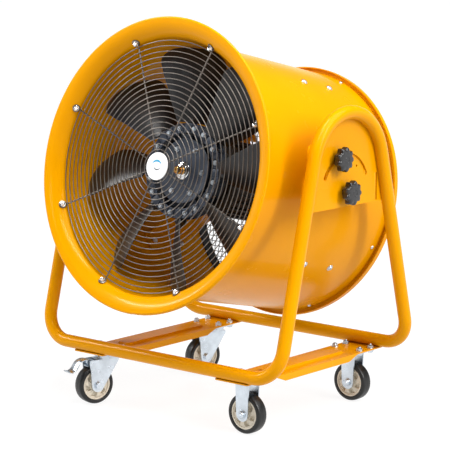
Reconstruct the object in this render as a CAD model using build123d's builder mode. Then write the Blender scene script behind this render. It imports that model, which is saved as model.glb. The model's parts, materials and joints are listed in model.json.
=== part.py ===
from build123d import *
import os
from math import acos, atan2, cos, hypot, pi, radians, sin, sqrt

# Axial air mover: a rolled sheet drum with a bell mouth carries a motor and an eight-blade impeller.
# The drum tilts in a tubular cradle and is clamped by star knobs; the cradle rolls on four casters.
# Millimetres.  +Z is up and the floor is z = 0.  The origin is on the floor under the cradle's centre.
# The bell mouth faces -Y, and +X is the side with the rigid casters.

# ---------------------------------------------------------------- driving dimensions
PIVOT_HEIGHT = 557.0
DRUM_TILT = 12.4            # degrees that the bell mouth points above level at rest

SHELL_RADIUS = 306.0
SHELL_THICKNESS = 2.5
DRUM_HALF_LENGTH = 278.0
RIM_RADIUS = 352.0          # over the rolled bead of the bell mouth
BEAD_RADIUS = 4.0
COLLAR_RADIUS = 319.4       # over the rear lip that a flexible duct slides over
COLLAR_LENGTH = 12.0

TUBE_RADIUS = 16.0
TUBE_WALL = 2.0
FRAME_HALF_WIDTH = 374.0
BAR_REACH = 255.0           # from the centre to each cross tube, along Y
BAR_HEIGHT = 150.0
ARCH_RADIUS = 133.0
ARCH_RISE = 54.0            # arch centre above the pivot
CORNER_RADIUS = 72.0
CORNER_STUB = 28.0          # straight tube after the corner bend, up to the welded joint

PLATE_FACE = 362.0          # inner face of a pivot plate
PLATE_THICKNESS = 4.0
PLATE_INSET = 13.9          # plate edge inside the tube centreline
PLATE_DROP = 34.0           # plate edge below the pivot
LOCK_RADIUS = 87.0          # lock stud from the pivot
LOCK_ANGLE = 111.5          # lock stud at rest, from the rear towards the top
SLOT_WIDTH = 11.0
SLOT_START = 26.0
SLOT_SWEEP = 127.0

RAIL_CENTRES = {"right": 241.0, "left": -218.0}
RAIL_WIDTH = 100.0
RAIL_LENGTH = 530.0
RAIL_TOP = BAR_HEIGHT - TUBE_RADIUS
RAIL_SHEET = 3.0
RAIL_DEPTH = 16.0
RIB_HEIGHT = 5.0

CASTER_REACH = 204.0
BOLT_SPACING_X = 76.0
BOLT_SPACING_Y = 45.0
BOLT_RADIUS = 4.0
BOLT_HOLE_RADIUS = 4.25
CASTER_PLATE = (92.0, 67.0)
WHEEL_RADIUS = 48.0
WHEEL_WIDTH = 30.0
AXLE_RADIUS = 5.0
AXLE_BORE_RADIUS = 5.05
FORK_GAP = 17.5             # wheel centre plane to the inside of a fork leg
FORK_SHEET = 3.0
SWIVEL_TRAIL = 34.0
SWIVEL_HEADING = 255.0      # direction in which the swivel wheels trail, from +X towards +Y
SWIVEL_WEB = 112.0          # height of the swivel fork's web
KINGPIN_RADIUS = 7.0

HUB_STATION = 148.0         # impeller plane ahead of the pivot
HUB_RADIUS = 115.0
BLADE_COUNT = 8
BLADE_PHASE = 2.0
TIP_RADIUS = 298.0
SHAFT_RADIUS = 14.0
RUNNING_CLEARANCE = 0.05

GUARD_STATION = 250.0
SPOKE_COUNT = 8
SPOKE_PHASE = 22.5
ARM_ANGLES = (56.5, 123.5, 216.3, 323.7)
ARM_BOLT_STATIONS = (-40.0, -142.0)

os.makedirs("parts", exist_ok=True)

# ---------------------------------------------------------------- shared geometry
SIDES = {"right": 1, "left": -1}
ENDS = {"front": -1, "rear": 1}
across = Vector(1, 0, 0)
forward = Vector(0, -cos(radians(DRUM_TILT)), sin(radians(DRUM_TILT)))
upward = Vector(0, sin(radians(DRUM_TILT)), cos(radians(DRUM_TILT)))
pivot = Vector(0, 0, PIVOT_HEIGHT)
drum_plane = Plane(origin=pivot, x_dir=across, z_dir=forward)
drum_axis = Axis(pivot, forward)
bore_radius = SHELL_RADIUS - SHELL_THICKNESS


def outward(angle):
    """Unit vector square to the drum axis, `angle` degrees from +X towards the top."""
    return across * cos(radians(angle)) + upward * sin(radians(angle))


def section_plane(angle):
    """Plane through the drum axis: local x is the radius, local y is the station ahead of the pivot."""
    return Plane(origin=pivot, x_dir=outward(angle), z_dir=outward(angle).cross(forward))


def wall_plane(angle, radius, station):
    """Plane that touches a cylinder about the drum axis: local x runs forward, its normal runs out."""
    origin = pivot + outward(angle) * radius + forward * station
    return Plane(origin=origin, x_dir=forward, z_dir=outward(angle))


def rod(plane, radius, length, mode=Mode.ADD):
    """Round bar that stands on `plane`, joined to or cut from the open part."""
    with BuildSketch(plane) as section:
        Circle(radius)
    extrude(section.sketch, amount=length, mode=mode)


def hexagon(plane, across_flats, height):
    """Hexagonal head or nut that stands on `plane`."""
    with BuildSketch(plane) as section:
        RegularPolygon(across_flats / 2, 6, major_radius=False)
    extrude(section.sketch, amount=height)


# ---------------------------------------------------------------- cradle tubes
arch_height = PIVOT_HEIGHT + ARCH_RISE
corner_reach = hypot(BAR_REACH, arch_height - BAR_HEIGHT)
touch_angle = acos(ARCH_RADIUS / corner_reach) - atan2(arch_height - BAR_HEIGHT, BAR_REACH)
touch_y = ARCH_RADIUS * cos(touch_angle)
touch_z = arch_height + ARCH_RADIUS * sin(touch_angle)
joint_x = FRAME_HALF_WIDTH - CORNER_RADIUS - CORNER_STUB

for side_name, side in SIDES.items():
    frame_x = side * FRAME_HALF_WIDTH
    with BuildPart() as side_frame:
        with BuildLine() as centreline:
            FilletPolyline(
                (side * joint_x, -BAR_REACH, BAR_HEIGHT),
                (frame_x, -BAR_REACH, BAR_HEIGHT),
                (frame_x, -touch_y, touch_z),
                radius=CORNER_RADIUS,
            )
            ThreePointArc(
                (frame_x, -touch_y, touch_z),
                (frame_x, 0, arch_height + ARCH_RADIUS),
                (frame_x, touch_y, touch_z),
            )
            FilletPolyline(
                (frame_x, touch_y, touch_z),
                (frame_x, BAR_REACH, BAR_HEIGHT),
                (side * joint_x, BAR_REACH, BAR_HEIGHT),
                radius=CORNER_RADIUS,
            )
        with BuildSketch(Plane(origin=centreline.line @ 0, z_dir=centreline.line % 0)):
            Circle(TUBE_RADIUS)
            Circle(TUBE_RADIUS - TUBE_WALL, mode=Mode.SUBTRACT)
        sweep(path=centreline.line)
    side_frame.part.label = f"side_frame_{side_name}"
    export_step(side_frame.part, f"parts/side_frame_{side_name}.step")

with BuildPart() as crossbars:
    for end in ENDS.values():
        with BuildSketch(Plane(origin=(-joint_x, end * BAR_REACH, BAR_HEIGHT), z_dir=(1, 0, 0))):
            Circle(TUBE_RADIUS)
            Circle(TUBE_RADIUS - TUBE_WALL, mode=Mode.SUBTRACT)
        extrude(amount=2 * joint_x)
crossbars.part.label = "crossbars"
export_step(crossbars.part, "parts/crossbars.step")

# ---------------------------------------------------------------- pivot plates
NOTCH_DEPTH = 12.0
NOTCH_BOTTOM = -31.0
NOTCH_TOP = 35.0
MARK_RADIUS = 3.0
STUD_RADIUS = {"pivot": 6.0, "lock": 5.0}
edge_radius = ARCH_RADIUS - PLATE_INSET
plate_bottom = PIVOT_HEIGHT - PLATE_DROP


def plate_edge(height):
    """Distance of the plate's sloping edge from the centre at a height."""
    return (edge_radius - (height - arch_height) * sin(touch_angle)) / cos(touch_angle)


for side_name, side in SIDES.items():
    with BuildPart() as pivot_plate:
        with BuildSketch(Plane.YZ.offset(side * PLATE_FACE)):
            with BuildLine():
                top_y = edge_radius * cos(touch_angle)
                top_z = arch_height + edge_radius * sin(touch_angle)
                Polyline(
                    (-top_y, top_z),
                    (-plate_edge(plate_bottom), plate_bottom),
                    (plate_edge(plate_bottom), plate_bottom),
                    (top_y, top_z),
                )
                ThreePointArc((top_y, top_z), (0, arch_height + edge_radius), (-top_y, top_z))
            make_face()
            with Locations((0, PIVOT_HEIGHT)):
                Circle(STUD_RADIUS["pivot"] + RUNNING_CLEARANCE, mode=Mode.SUBTRACT)
            with BuildLine() as track:
                CenterArc((0, PIVOT_HEIGHT), LOCK_RADIUS, SLOT_START, SLOT_SWEEP)
            SlotArc(track.edge(), SLOT_WIDTH, mode=Mode.SUBTRACT)
            with Locations((43, PIVOT_HEIGHT + 58)):
                Circle(MARK_RADIUS, mode=Mode.SUBTRACT)
            notch_y = plate_edge(PIVOT_HEIGHT) - 2 * NOTCH_DEPTH
            notch_middle = PIVOT_HEIGHT + (NOTCH_TOP + NOTCH_BOTTOM) / 2
            with Locations((notch_y + NOTCH_DEPTH / 2, notch_middle)):
                Rectangle(NOTCH_DEPTH, NOTCH_TOP - NOTCH_BOTTOM, mode=Mode.SUBTRACT)
        extrude(amount=side * PLATE_THICKNESS)
    pivot_plate.part.label = f"pivot_plate_{side_name}"
    export_step(pivot_plate.part, f"parts/pivot_plate_{side_name}.step")

# ---------------------------------------------------------------- caster rails and their bolts
RAIL_CORNER = 6.0
FLANGE_REACH = 158.0
FLANGE_TAPER = 34.0
RIB_WIDTH = 46.0
RIB_LENGTH = 290.0
RIB_CORNER = 14.0
RIB_SLOPE = 40.0
rail_underside = RAIL_TOP - RAIL_SHEET

for side_name, rail_x in RAIL_CENTRES.items():
    with BuildPart() as caster_rail:
        with BuildSketch(Plane.XY.offset(rail_underside)):
            with Locations((rail_x, 0)):
                RectangleRounded(RAIL_WIDTH, RAIL_LENGTH, RAIL_CORNER)
            with Locations((rail_x, -CASTER_REACH), (rail_x, CASTER_REACH)):
                with GridLocations(BOLT_SPACING_X, BOLT_SPACING_Y, 2, 2):
                    Circle(BOLT_HOLE_RADIUS, mode=Mode.SUBTRACT)
        extrude(amount=RAIL_SHEET)
        with BuildSketch(Plane.XY.offset(RAIL_TOP)):
            with Locations((rail_x, 0)):
                RectangleRounded(RIB_WIDTH, RIB_LENGTH, RIB_CORNER)
        extrude(amount=RIB_HEIGHT, taper=RIB_SLOPE)
        with BuildSketch(Plane.XY.offset(rail_underside)):
            with Locations((rail_x, 0)):
                RectangleRounded(RIB_WIDTH - 2, RIB_LENGTH - 2, RIB_CORNER - 1)
        extrude(amount=RIB_HEIGHT, taper=RIB_SLOPE, mode=Mode.SUBTRACT)
        for flange_x in (rail_x - RAIL_WIDTH / 2, rail_x + RAIL_WIDTH / 2 - RAIL_SHEET):
            with BuildSketch(Plane.YZ.offset(flange_x)):
                with BuildLine():
                    Polyline(
                        (-FLANGE_REACH, rail_underside),
                        (-FLANGE_REACH + FLANGE_TAPER, RAIL_TOP - RAIL_DEPTH),
                        (FLANGE_REACH - FLANGE_TAPER, RAIL_TOP - RAIL_DEPTH),
                        (FLANGE_REACH, rail_underside),
                        close=True,
                    )
                make_face()
            extrude(amount=RAIL_SHEET)
    caster_rail.part.label = f"caster_rail_{side_name}"
    export_step(caster_rail.part, f"parts/caster_rail_{side_name}.step")

SWIVEL_PLATE_SHEET = 4.0
HEAD_FLATS = 13.0
HEAD_HEIGHT = 5.3
NUT_HEIGHT = 6.5
STUD_END = 10.0
plate_sheet = {"right": FORK_SHEET, "left": SWIVEL_PLATE_SHEET}
with BuildPart() as caster_bolts:
    for side_name, rail_x in RAIL_CENTRES.items():
        head_top = rail_underside - plate_sheet[side_name]
        for end in ENDS.values():
            for dx in (-BOLT_SPACING_X / 2, BOLT_SPACING_X / 2):
                for dy in (-BOLT_SPACING_Y / 2, BOLT_SPACING_Y / 2):
                    spot = Plane(origin=(rail_x + dx, end * CASTER_REACH + dy, 0))
                    hexagon(spot.offset(head_top - HEAD_HEIGHT), HEAD_FLATS, HEAD_HEIGHT)
                    rod(spot.offset(head_top), BOLT_RADIUS, RAIL_TOP + STUD_END - head_top)
                    hexagon(spot.offset(RAIL_TOP), HEAD_FLATS, NUT_HEIGHT)
caster_bolts.part.label = "caster_bolts"
export_step(caster_bolts.part, "parts/caster_bolts.step")

# ---------------------------------------------------------------- casters
LEG_FOOT_RADIUS = 17.0
LEG_TOP_BAND = 6.0
NUT_FLATS = 16.0
AXLE_HEAD = 6.0
PLATE_CORNER = 6.0


def rolling_plane(x, y, heading):
    """Upright plane along a caster's rolling direction: local x trails, local y is the height."""
    trail = Vector(cos(radians(heading)), sin(radians(heading)), 0)
    return Plane(origin=(x, y, 0), x_dir=trail, z_dir=trail.cross(Vector(0, 0, 1)))


def mounting_plate(x, y, thickness):
    """Bolted top plate of a caster."""
    with BuildSketch(Plane.XY.offset(rail_underside)) as outline:
        with Locations((x, y)):
            RectangleRounded(CASTER_PLATE[0], CASTER_PLATE[1], PLATE_CORNER)
            with GridLocations(BOLT_SPACING_X, BOLT_SPACING_Y, 2, 2):
                Circle(BOLT_HOLE_RADIUS, mode=Mode.SUBTRACT)
    extrude(outline.sketch, amount=-thickness)


def fork_legs(plane, top, reach_back, reach_ahead, trail):
    """Both legs of a fork, from a straight top edge down to a round end about the axle."""
    for direction in (1, -1):
        with BuildSketch(plane.offset(direction * FORK_GAP)) as leg:
            with Locations(((reach_ahead - reach_back) / 2, top - LEG_TOP_BAND / 2)):
                Rectangle(reach_ahead + reach_back, LEG_TOP_BAND)
            with Locations((trail, WHEEL_RADIUS)):
                Circle(LEG_FOOT_RADIUS)
            make_hull()
            with Locations((trail, WHEEL_RADIUS)):
                Circle(AXLE_BORE_RADIUS, mode=Mode.SUBTRACT)
        extrude(leg.sketch, amount=direction * FORK_SHEET)


def axle_bolt(plane, trail):
    """Axle bolt through both fork legs, with its head, nut and stud end."""
    side_face = FORK_GAP + FORK_SHEET
    centre = Plane(
        origin=plane.from_local_coords((trail, WHEEL_RADIUS, 0)), x_dir=plane.x_dir, z_dir=plane.z_dir
    )
    rod(centre.offset(-side_face - AXLE_HEAD), AXLE_RADIUS, 2 * side_face + 2 * AXLE_HEAD + 2)
    hexagon(centre.offset(side_face), NUT_FLATS, AXLE_HEAD)
    hexagon(centre.offset(-side_face - AXLE_HEAD), NUT_FLATS, AXLE_HEAD)


rigid_planes = {}
swivel_planes = {}
for end_name, end in ENDS.items():
    rigid_planes[end_name] = rolling_plane(RAIL_CENTRES["right"], end * CASTER_REACH, 0)
    swivel_planes[end_name] = rolling_plane(RAIL_CENTRES["left"], end * CASTER_REACH, SWIVEL_HEADING)

RIGID_LEG_REACH = 20.0
for end_name, plane in rigid_planes.items():
    with BuildPart() as rigid_fork:
        mounting_plate(plane.origin.X, plane.origin.Y, FORK_SHEET)
        fork_legs(plane, rail_underside - FORK_SHEET, RIGID_LEG_REACH, RIGID_LEG_REACH, 0)
    rigid_fork.part.label = f"rigid_fork_{end_name}"
    export_step(rigid_fork.part, f"parts/rigid_fork_{end_name}.step")

with BuildPart() as rigid_axles:
    for plane in rigid_planes.values():
        axle_bolt(plane, 0)
rigid_axles.part.label = "rigid_axles"
export_step(rigid_axles.part, "parts/rigid_axles.step")

RACE_RADIUS = 29.0
RACE_GAP = 0.3
RACE_BOTTOM = 119.0
CROWN_RADIUS = 28.0
WEB_SHEET = 4.0
PIN_HEAD_RADIUS = 11.0
PIN_HEAD_HEIGHT = 4.0
web_underside = SWIVEL_WEB - WEB_SHEET
with BuildPart() as swivel_plates:
    for plane in swivel_planes.values():
        mounting_plate(plane.origin.X, plane.origin.Y, SWIVEL_PLATE_SHEET)
        kingpin = Plane(origin=(plane.origin.X, plane.origin.Y, 0))
        race_height = rail_underside - SWIVEL_PLATE_SHEET - RACE_BOTTOM
        rod(kingpin.offset(RACE_BOTTOM), RACE_RADIUS, race_height)
        pin_head = web_underside - RACE_GAP - PIN_HEAD_HEIGHT
        rod(kingpin.offset(pin_head), PIN_HEAD_RADIUS, PIN_HEAD_HEIGHT)
        rod(kingpin.offset(pin_head), KINGPIN_RADIUS, RACE_BOTTOM - pin_head)
swivel_plates.part.label = "swivel_plates"
export_step(swivel_plates.part, "parts/swivel_plates.step")

SWIVEL_BACK = 26.0
SWIVEL_AHEAD = 56.0
WEB_AHEAD = 33.0
BRAKE_PIN = (44.0, 102.0)
BRAKE_PIN_RADIUS = 3.0
for end_name, plane in swivel_planes.items():
    with BuildPart() as swivel_fork:
        fork_legs(plane, SWIVEL_WEB, SWIVEL_BACK, SWIVEL_AHEAD, SWIVEL_TRAIL)
        web_plane = Plane(origin=plane.origin, x_dir=plane.x_dir, z_dir=(0, 0, 1)).offset(web_underside)
        with BuildSketch(web_plane):
            with Locations(((WEB_AHEAD - SWIVEL_BACK) / 2, 0)):
                Rectangle(WEB_AHEAD + SWIVEL_BACK, 2 * (FORK_GAP + FORK_SHEET))
        extrude(amount=WEB_SHEET)
        rod(web_plane.offset(WEB_SHEET), CROWN_RADIUS, RACE_BOTTOM - RACE_GAP - SWIVEL_WEB)
        rod(web_plane, KINGPIN_RADIUS + RUNNING_CLEARANCE, 2 * WEB_SHEET + 10, mode=Mode.SUBTRACT)
        if end_name == "front":
            pin_origin = plane.from_local_coords((BRAKE_PIN[0], BRAKE_PIN[1], -FORK_GAP - FORK_SHEET))
            brake_pin = Plane(origin=pin_origin, x_dir=plane.x_dir, z_dir=plane.z_dir)
            rod(brake_pin, BRAKE_PIN_RADIUS, 2 * (FORK_GAP + FORK_SHEET))
    swivel_fork.part.label = f"swivel_fork_{end_name}"
    export_step(swivel_fork.part, f"parts/swivel_fork_{end_name}.step")

    with BuildPart() as swivel_axle:
        axle_bolt(plane, SWIVEL_TRAIL)
    swivel_axle.part.label = f"swivel_axle_{end_name}"
    export_step(swivel_axle.part, f"parts/swivel_axle_{end_name}.step")

PEDAL_HALF_WIDTH = 13.0
PEDAL_SHEET = 3.0
PEDAL_HUB_RADIUS = 6.0
with BuildPart() as brake_pedal:
    with BuildSketch(swivel_planes["front"]):
        with BuildLine():
            FilletPolyline(BRAKE_PIN, (63, 114), (80, 108), (95, 88), (108, 85), radius=6)
        trace(line_width=PEDAL_SHEET)
    extrude(amount=PEDAL_HALF_WIDTH, both=True)
    with BuildSketch(swivel_planes["front"]):
        with BuildLine():
            Line(BRAKE_PIN, (56, 97))
        trace(line_width=PEDAL_SHEET)
    extrude(amount=PEDAL_HALF_WIDTH, both=True)
    with BuildSketch(swivel_planes["front"]):
        with Locations(BRAKE_PIN):
            Circle(PEDAL_HUB_RADIUS)
    extrude(amount=PEDAL_HALF_WIDTH, both=True)
    with BuildSketch(swivel_planes["front"]):
        with Locations(BRAKE_PIN):
            Circle(BRAKE_PIN_RADIUS + RUNNING_CLEARANCE)
    extrude(amount=2 * PEDAL_HALF_WIDTH, both=True, mode=Mode.SUBTRACT)
brake_pedal.part.label = "brake_pedal"
export_step(brake_pedal.part, "parts/brake_pedal.step")

# ---------------------------------------------------------------- wheels
RIM_EDGE_RADIUS = 37.0
RIM_LIP = 4.0
RIM_HALF_WIDTH = 13.5
HUB_HALF_WIDTH = 16.5
WHEEL_HUB_RADIUS = 13.0
RIM_WEB_HALF = 10.5
TREAD_CORNER = 5.0
RIM_SLOTS = 6
wheel_places = {
    "front_right": (rigid_planes["front"], 0),
    "rear_right": (rigid_planes["rear"], 0),
    "front_left": (swivel_planes["front"], SWIVEL_TRAIL),
    "rear_left": (swivel_planes["rear"], SWIVEL_TRAIL),
}
for wheel_name, (plane, trail) in wheel_places.items():
    hub_centre = plane.from_local_coords((trail, WHEEL_RADIUS, 0))
    axle_line = Axis(hub_centre, plane.z_dir)
    half_plane = Plane(origin=hub_centre, x_dir=(0, 0, 1), z_dir=Vector(0, 0, 1).cross(plane.z_dir))
    disc_plane = Plane(origin=hub_centre, x_dir=plane.x_dir, z_dir=plane.z_dir)
    with BuildPart() as wheel_rim:
        with BuildSketch(half_plane):
            with BuildLine():
                Polyline(
                    (AXLE_BORE_RADIUS, -HUB_HALF_WIDTH),
                    (WHEEL_HUB_RADIUS, -HUB_HALF_WIDTH),
                    (WHEEL_HUB_RADIUS, -RIM_WEB_HALF),
                    (RIM_EDGE_RADIUS - RIM_LIP, -RIM_WEB_HALF),
                    (RIM_EDGE_RADIUS - RIM_LIP, -RIM_HALF_WIDTH),
                    (RIM_EDGE_RADIUS, -RIM_HALF_WIDTH),
                    (RIM_EDGE_RADIUS, RIM_HALF_WIDTH),
                    (RIM_EDGE_RADIUS - RIM_LIP, RIM_HALF_WIDTH),
                    (RIM_EDGE_RADIUS - RIM_LIP, RIM_WEB_HALF),
                    (WHEEL_HUB_RADIUS, RIM_WEB_HALF),
                    (WHEEL_HUB_RADIUS, HUB_HALF_WIDTH),
                    (AXLE_BORE_RADIUS, HUB_HALF_WIDTH),
                    close=True,
                )
            make_face()
        revolve(axis=axle_line)
        with BuildSketch(disc_plane):
            with PolarLocations(24, RIM_SLOTS):
                SlotOverall(14, 6, rotation=60)
        extrude(amount=2 * RIM_WEB_HALF, both=True, mode=Mode.SUBTRACT)
    wheel_rim.part.label = f"wheel_rim_{wheel_name}"
    export_step(wheel_rim.part, f"parts/wheel_rim_{wheel_name}.step")

    with BuildPart() as tyre:
        with BuildSketch(half_plane) as tread:
            with Locations(((WHEEL_RADIUS + RIM_EDGE_RADIUS) / 2, 0)):
                Rectangle(WHEEL_RADIUS - RIM_EDGE_RADIUS, WHEEL_WIDTH)
            fillet(tread.vertices().group_by(Axis.X)[-1], TREAD_CORNER)
        revolve(axis=axle_line)
    tyre.part.label = f"tyre_{wheel_name}"
    export_step(tyre.part, f"parts/tyre_{wheel_name}.step")

# ---------------------------------------------------------------- drum shell
flare_centre = RIM_RADIUS - BEAD_RADIUS
flare_outer = flare_centre - SHELL_RADIUS
flare_inner = flare_centre - bore_radius
flare_start = DRUM_HALF_LENGTH - flare_inner
HALF_TURN = cos(pi / 4)
GUARD_BOLT_RADIUS = 311.0           # distance of the front guard's bolts from the drum axis
GUARD_BOLT_SIZE = 2.5
REAR_SCREW_STATION = -254.0
REAR_SCREW_SIZE = 2.5
ARM_BOLT_SIZE = 4.0
HOLE_CLEARANCE = 0.1
guard_bolt_rise = (flare_inner**2 - (flare_centre - GUARD_BOLT_RADIUS) ** 2) ** 0.5
guard_bolt_station = flare_start + guard_bolt_rise
spoke_angles = [SPOKE_PHASE + 360 / SPOKE_COUNT * step for step in range(SPOKE_COUNT)]
rear_end = -DRUM_HALF_LENGTH
collar_inner = COLLAR_RADIUS - SHELL_THICKNESS
collar_front = rear_end + COLLAR_LENGTH
collar_web = rear_end + SHELL_THICKNESS


def flare_plane(angle, depth=0.0):
    """Plane on the bell mouth at a guard bolt, facing the air, `depth` above the sheet."""
    lean_in = (flare_centre - GUARD_BOLT_RADIUS) / flare_inner
    lean_forward = guard_bolt_rise / flare_inner
    normal = forward * lean_forward + outward(angle) * lean_in * -1
    origin = pivot + outward(angle) * GUARD_BOLT_RADIUS + forward * guard_bolt_station
    return Plane(origin=origin, x_dir=outward(angle).cross(forward), z_dir=normal).offset(depth)


with BuildPart() as drum_shell:
    with BuildSketch(section_plane(0)):
        with BuildLine():
            Polyline((flare_centre, DRUM_HALF_LENGTH - SHELL_THICKNESS), (flare_centre, DRUM_HALF_LENGTH))
            ThreePointArc(
                (flare_centre, DRUM_HALF_LENGTH),
                (flare_centre - flare_inner * HALF_TURN, flare_start + flare_inner * HALF_TURN),
                (bore_radius, flare_start),
            )
            Polyline(
                (bore_radius, flare_start),
                (bore_radius, rear_end),
                (COLLAR_RADIUS, rear_end),
                (COLLAR_RADIUS, collar_front),
                (collar_inner, collar_front),
                (collar_inner, collar_web),
                (SHELL_RADIUS, collar_web),
                (SHELL_RADIUS, flare_start),
            )
            ThreePointArc(
                (SHELL_RADIUS, flare_start),
                (flare_centre - flare_outer * HALF_TURN, flare_start + flare_outer * HALF_TURN),
                (flare_centre, DRUM_HALF_LENGTH - SHELL_THICKNESS),
            )
        make_face()
        with Locations((flare_centre, DRUM_HALF_LENGTH - BEAD_RADIUS)):
            Circle(BEAD_RADIUS)
    revolve(axis=drum_axis)
    for angle in spoke_angles:
        rod(flare_plane(angle, -2 * SHELL_THICKNESS), GUARD_BOLT_SIZE + HOLE_CLEARANCE, 10, Mode.SUBTRACT)
        rod(
            wall_plane(angle, bore_radius - 5, REAR_SCREW_STATION),
            REAR_SCREW_SIZE + HOLE_CLEARANCE,
            12,
            Mode.SUBTRACT,
        )
    for angle in ARM_ANGLES:
        for station in ARM_BOLT_STATIONS:
            rod(wall_plane(angle, bore_radius - 5, station), ARM_BOLT_SIZE + HOLE_CLEARANCE, 12, Mode.SUBTRACT)
drum_shell.part.label = "drum_shell"
export_step(drum_shell.part, "parts/drum_shell.step")

# ---------------------------------------------------------------- front guard
RING_COUNT = 21
FIRST_RING = 40.0
RING_PITCH = 12.95
WIRE_RADIUS = 1.4
SPOKE_RADIUS = 2.0
SPOKE_INNER = 28.0
SPOKE_OUTER = 305.0
TAB_RADIUS = 9.5
TAB_SHEET = 2.5
PAD_RADIUS = 32.5
PAD_SHEET = 3.0
WELD_GAP = 0.05             # rings and spokes are separate solids that just miss each other
ring_station = GUARD_STATION + SPOKE_RADIUS + WIRE_RADIUS + WELD_GAP
with BuildPart() as front_guard:
    with BuildSketch(section_plane(0)):
        for step in range(RING_COUNT):
            with Locations((FIRST_RING + RING_PITCH * step, ring_station)):
                Circle(WIRE_RADIUS)
    revolve(axis=drum_axis)
    for angle in spoke_angles:
        spoke_start = pivot + outward(angle) * SPOKE_INNER + forward * GUARD_STATION
        spoke = Plane(origin=spoke_start, x_dir=forward, z_dir=outward(angle))
        rod(spoke, SPOKE_RADIUS, SPOKE_OUTER - SPOKE_INNER)
        rod(flare_plane(angle, 0.1), TAB_RADIUS, TAB_SHEET)
        rod(flare_plane(angle), GUARD_BOLT_SIZE + HOLE_CLEARANCE, 5, Mode.SUBTRACT)
    rod(drum_plane.offset(GUARD_STATION - PAD_SHEET / 2), PAD_RADIUS, PAD_SHEET)
front_guard.part.label = "front_guard"
export_step(front_guard.part, "parts/front_guard.step")

BADGE_RADIUS = 33.0
BADGE_SHEET = 4.0
badge_back = drum_plane.offset(GUARD_STATION + SPOKE_RADIUS)
with BuildPart() as guard_badge:
    rod(badge_back, BADGE_RADIUS, BADGE_SHEET)
    fillet(guard_badge.edges().filter_by(GeomType.CIRCLE).sort_by(drum_axis)[-1], 2)
guard_badge.part.label = "guard_badge"
export_step(guard_badge.part, "parts/guard_badge.step")

ACORN_FLATS = 11.0
ACORN_HEIGHT = 5.0
ACORN_DOME = 4.8
BACK_HEAD_RADIUS = 5.0
BACK_HEAD_HEIGHT = 3.0
BACK_HEAD_GAP = 0.4
back_head_top = -SHELL_THICKNESS - BACK_HEAD_GAP
with BuildPart() as guard_bolts:
    for angle in spoke_angles:
        tab_face = flare_plane(angle, 0.1 + TAB_SHEET)
        hexagon(tab_face, ACORN_FLATS, ACORN_HEIGHT)
        with Locations(tab_face.offset(ACORN_HEIGHT)):
            Sphere(ACORN_DOME)
        rod(flare_plane(angle, back_head_top), GUARD_BOLT_SIZE, TAB_SHEET + 0.1 - back_head_top)
        rod(flare_plane(angle, back_head_top - BACK_HEAD_HEIGHT), BACK_HEAD_RADIUS, BACK_HEAD_HEIGHT)
guard_bolts.part.label = "guard_bolts"
export_step(guard_bolts.part, "parts/guard_bolts.step")

# ---------------------------------------------------------------- rear guard
BAND_OUTER = bore_radius - 0.2
BAND_SHEET = 2.5
BAND_FRONT = -243.0
GRID_PITCH = 30.0
GRID_BARS = 20
GRID_BAR = 3.0
bar_circle = BAND_OUTER - BAND_SHEET - WELD_GAP
upright_layer = drum_plane.offset(rear_end + 1)
level_layer = upright_layer.offset(GRID_BAR + WELD_GAP)
with BuildPart() as rear_guard:
    for line in range(GRID_BARS):
        offset = GRID_PITCH * (line - (GRID_BARS - 1) / 2)
        bar_length = 2 * sqrt(bar_circle**2 - (abs(offset) + GRID_BAR / 2) ** 2)
        with BuildSketch(upright_layer):
            with Locations((offset, 0)):
                Rectangle(GRID_BAR, bar_length)
        extrude(amount=GRID_BAR)
        with BuildSketch(level_layer):
            with Locations((0, offset)):
                Rectangle(bar_length, GRID_BAR)
        extrude(amount=GRID_BAR)
    with BuildSketch(drum_plane.offset(rear_end + 1)):
        Circle(BAND_OUTER)
        Circle(BAND_OUTER - BAND_SHEET, mode=Mode.SUBTRACT)
    extrude(amount=BAND_FRONT - rear_end - 1)
    for angle in spoke_angles:
        rod(
            wall_plane(angle, BAND_OUTER - 2 * BAND_SHEET, REAR_SCREW_STATION),
            REAR_SCREW_SIZE + HOLE_CLEARANCE,
            12,
            Mode.SUBTRACT,
        )
rear_guard.part.label = "rear_guard"
export_step(rear_guard.part, "parts/rear_guard.step")

SCREW_HEAD_RADIUS = 5.0
SCREW_HEAD_HEIGHT = 3.0
screw_root = BAND_OUTER - BAND_SHEET - 4
with BuildPart() as rear_guard_screws:
    for angle in spoke_angles:
        shank_length = SHELL_RADIUS + 1 - screw_root
        rod(wall_plane(angle, screw_root, REAR_SCREW_STATION), REAR_SCREW_SIZE, shank_length)
        rod(wall_plane(angle, SHELL_RADIUS + 0.1, REAR_SCREW_STATION), SCREW_HEAD_RADIUS, SCREW_HEAD_HEIGHT)
rear_guard_screws.part.label = "rear_guard_screws"
export_step(rear_guard_screws.part, "parts/rear_guard_screws.step")

# ---------------------------------------------------------------- trunnions: brackets, studs, knobs
BRACKET_FACE = 361.5
BRACKET_SHEET = 3.0
BRACKET_ROOT = 282.0
BRACKET_LENGTH = 145.0
BRACKET_HEIGHT = 125.0
BRACKET_CENTRE = (-2.5, 36.0)
BRACKET_CORNER = 25.0
lock_turn = LOCK_ANGLE + DRUM_TILT
lock_back = LOCK_RADIUS * cos(radians(lock_turn))
lock_up = LOCK_RADIUS * sin(radians(lock_turn))
stud_spots = {"pivot": (0, 0), "lock": (lock_back, lock_up)}


def flank_plane(distance, spot=(0, 0)):
    """Upright plane at x = `distance`: local x runs towards the rear of the drum, local y upward."""
    flank = Plane(origin=pivot + across * distance, x_dir=forward * -1, z_dir=across)
    return Plane(origin=flank.from_local_coords((spot[0], spot[1], 0)), x_dir=forward * -1, z_dir=across)


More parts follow.
